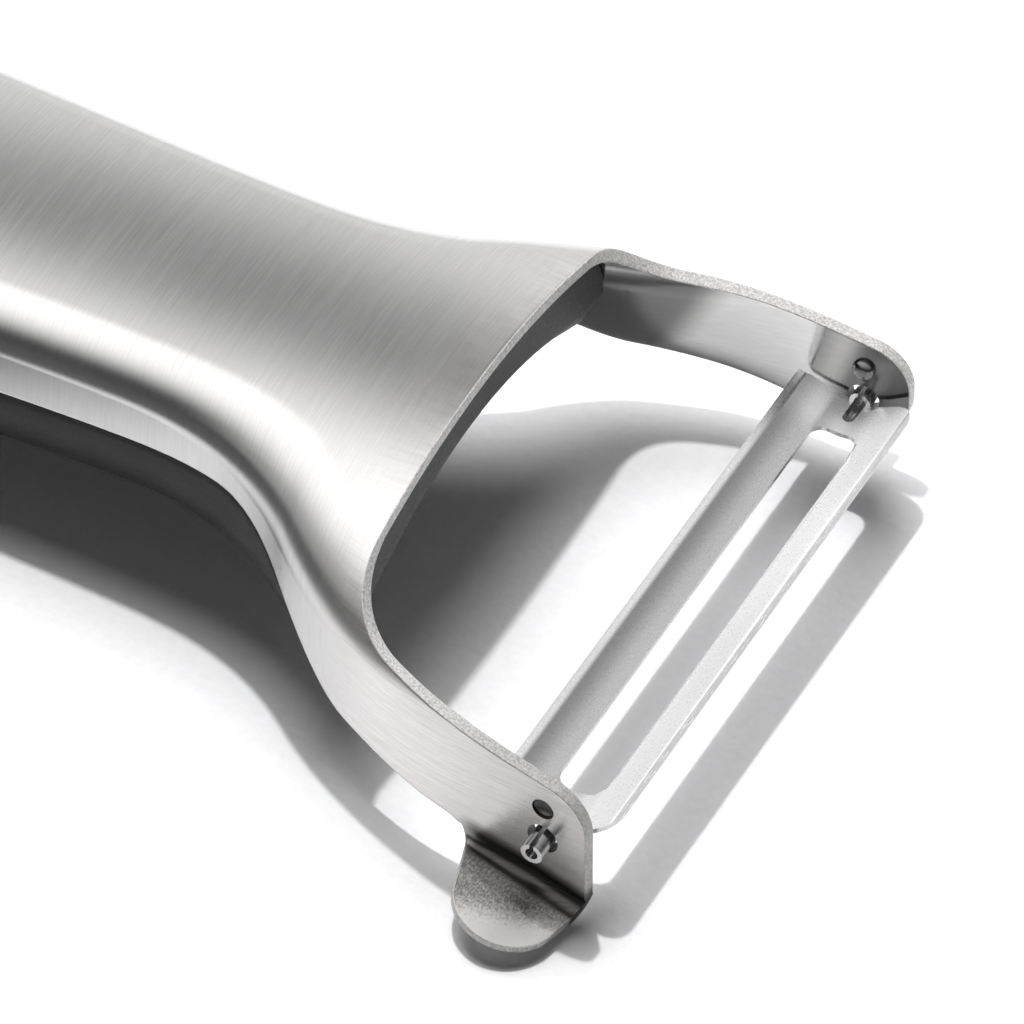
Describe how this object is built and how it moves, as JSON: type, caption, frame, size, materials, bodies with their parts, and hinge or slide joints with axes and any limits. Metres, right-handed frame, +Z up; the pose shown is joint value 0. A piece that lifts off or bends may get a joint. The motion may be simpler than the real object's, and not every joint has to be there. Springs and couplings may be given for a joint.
{
  "type": "vegetable peeler",
  "caption": "Wide vegetable peeler: steel shell handle with a dark grip under it, arms that hold a swivelling slotted blade, and a scoop for potato eyes.",
  "frame": {"origin": "On the flat underside of the grip, on the axis of the hanging hole.", "axes": "+X runs along the handle to the head, +Y across it to the far arm, +Z up out of the crown. The eye remover is on the -Y side."},
  "size_m": [0.1608, 0.0823, 0.0317],
  "materials": {
    "body_steel": "brushed on top and along the arms, polished on the eye remover",
    "core_plastic": "moulded",
    "grip_rubber": "matt, fine grain",
    "blade_steel": "satin, ground bright along the edges"
  },
  "bodies": {
    "handle": {"steel_body": "body_steel", "grip_core": "core_plastic", "soft_grip": "grip_rubber"},
    "blade_body": {"blade": "blade_steel"}
  },
  "joints": [
    {"name": "blade_swivel", "type": "hinge", "parent": "handle", "child": "blade_body", "pos_m": [0.1421, 0, -0.0005], "axis": [0, 1, 0], "range_deg": [-56, 60]}
  ]
}
